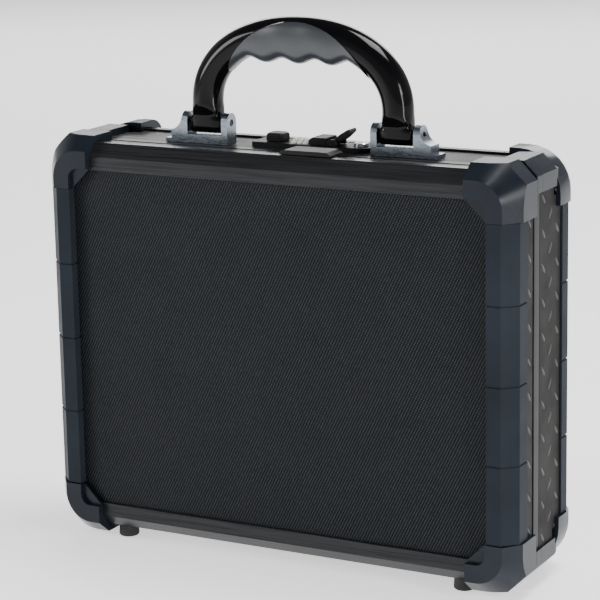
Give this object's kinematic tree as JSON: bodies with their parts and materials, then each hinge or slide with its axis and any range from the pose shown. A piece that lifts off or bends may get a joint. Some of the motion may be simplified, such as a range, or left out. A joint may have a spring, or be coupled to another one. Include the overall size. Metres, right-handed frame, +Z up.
{
  "type": "attache case",
  "caption": "Small hard-shell aluminium attache case with a swinging carrying handle, moulded corner protectors, a hinged lid and a combination lock.",
  "frame": {"origin": "on the surface the feet stand on, below the centre of the case's overall box", "axes": "+X along the case to the viewer's right, +Y from the lid face to the back, +Z up towards the handle"},
  "size_m": [0.333, 0.095, 0.3485],
  "materials": {
    "textured_sheet": "black coated sheet, fine grain on the faces and raised treads on the sides",
    "black_aluminium": "black anodised, lightly brushed",
    "guard_plastic": "dark blue-grey moulding, satin",
    "gloss_plastic": "polished black",
    "grip_plastic": "dark grey, satin",
    "dark_metal": "black nickel plate",
    "steel": "fine turned steel",
    "rubber": "matt black",
    "felt": "short black felt",
    "dial_white": "off-white number wheels"
  },
  "bodies": {
    "base": {"base_back_panel": "textured_sheet", "base_bottom_wall": "textured_sheet", "base_corner_bottom_left": "guard_plastic", "base_corner_bottom_right": "guard_plastic", "base_corner_top_left": "guard_plastic", "base_corner_top_right": "guard_plastic", "base_edge_bottom": "black_aluminium", "base_edge_top": "black_aluminium", "base_foot_left": "rubber", "base_foot_right": "rubber", "base_guard_left": "guard_plastic", "base_guard_right": "guard_plastic", "base_left_wall": "textured_sheet", "base_lining": "felt", "base_right_wall": "textured_sheet", "base_rim": "black_aluminium", "base_top_wall": "textured_sheet", "handle_bracket_left": "dark_metal", "handle_bracket_right": "dark_metal", "handle_pin_left": "steel", "handle_pin_right": "steel", "hinge_base_leaf_left": "dark_metal", "hinge_base_leaf_right": "dark_metal", "hinge_pin_left": "steel", "hinge_pin_right": "steel", "latch_block": "dark_metal", "latch_ear_back": "dark_metal", "latch_ear_front": "dark_metal", "lock_case": "dark_metal"},
    "lid": {"hinge_lid_leaf_left": "dark_metal", "hinge_lid_leaf_right": "dark_metal", "lid_bottom_wall": "textured_sheet", "lid_corner_bottom_left": "guard_plastic", "lid_corner_bottom_right": "guard_plastic", "lid_corner_top_left": "guard_plastic", "lid_corner_top_right": "guard_plastic", "lid_edge_bottom": "black_aluminium", "lid_edge_top": "black_aluminium", "lid_foot_left": "rubber", "lid_foot_right": "rubber", "lid_front_panel": "textured_sheet", "lid_guard_left": "guard_plastic", "lid_guard_right": "guard_plastic", "lid_left_wall": "textured_sheet", "lid_lining": "felt", "lid_right_wall": "textured_sheet", "lid_rim": "black_aluminium", "lid_strike_plate": "dark_metal", "lid_top_wall": "textured_sheet"},
    "handle": {"handle_arch": "gloss_plastic", "handle_grip": "grip_plastic"},
    "dial_1": {"lock_dial_1": "dial_white"},
    "dial_2": {"lock_dial_2": "dial_white"},
    "dial_3": {"lock_dial_3": "dial_white"},
    "slide_button": {"lock_slide_button": "dark_metal"},
    "latch": {"latch_lever": "dark_metal"},
    "key_barrel": {"key_cylinder": "steel"}
  },
  "joints": [
    {"name": "lid_hinge", "type": "hinge", "parent": "base", "child": "lid", "pos_m": [0, -0.01345, 0.0035], "axis": [1, 0, 0], "range_deg": [0, 100]},
    {"name": "handle_swing", "type": "hinge", "parent": "base", "child": "handle", "pos_m": [0, 0, 0.2785], "axis": [1, 0, 0], "range_deg": [-85, 85]},
    {"name": "latch_lift", "type": "hinge", "parent": "base", "child": "latch", "pos_m": [0.0236, 0.0035, 0.2706], "axis": [0, -1, 0], "range_deg": [-20, 60]},
    {"name": "button_slide", "type": "slide", "parent": "base", "child": "slide_button", "axis": [-1, 0, 0], "range_m": [0, 0.004], "stiffness_N_per_m": 400},
    {"name": "dial_1_turn", "type": "hinge", "parent": "base", "child": "dial_1", "pos_m": [-0.0069, 0.006, 0.2639], "axis": [1, 0, 0], "continuous": true},
    {"name": "dial_2_turn", "type": "hinge", "parent": "base", "child": "dial_2", "pos_m": [-0.0028, 0.006, 0.2639], "axis": [1, 0, 0], "continuous": true},
    {"name": "dial_3_turn", "type": "hinge", "parent": "base", "child": "dial_3", "pos_m": [0.0013, 0.006, 0.2639], "axis": [1, 0, 0], "continuous": true},
    {"name": "key_turn", "type": "hinge", "parent": "base", "child": "key_barrel", "pos_m": [0.0389, 0.006, 0.2693], "axis": [0, 0, 1], "range_deg": [-90, 0]}
  ]
}
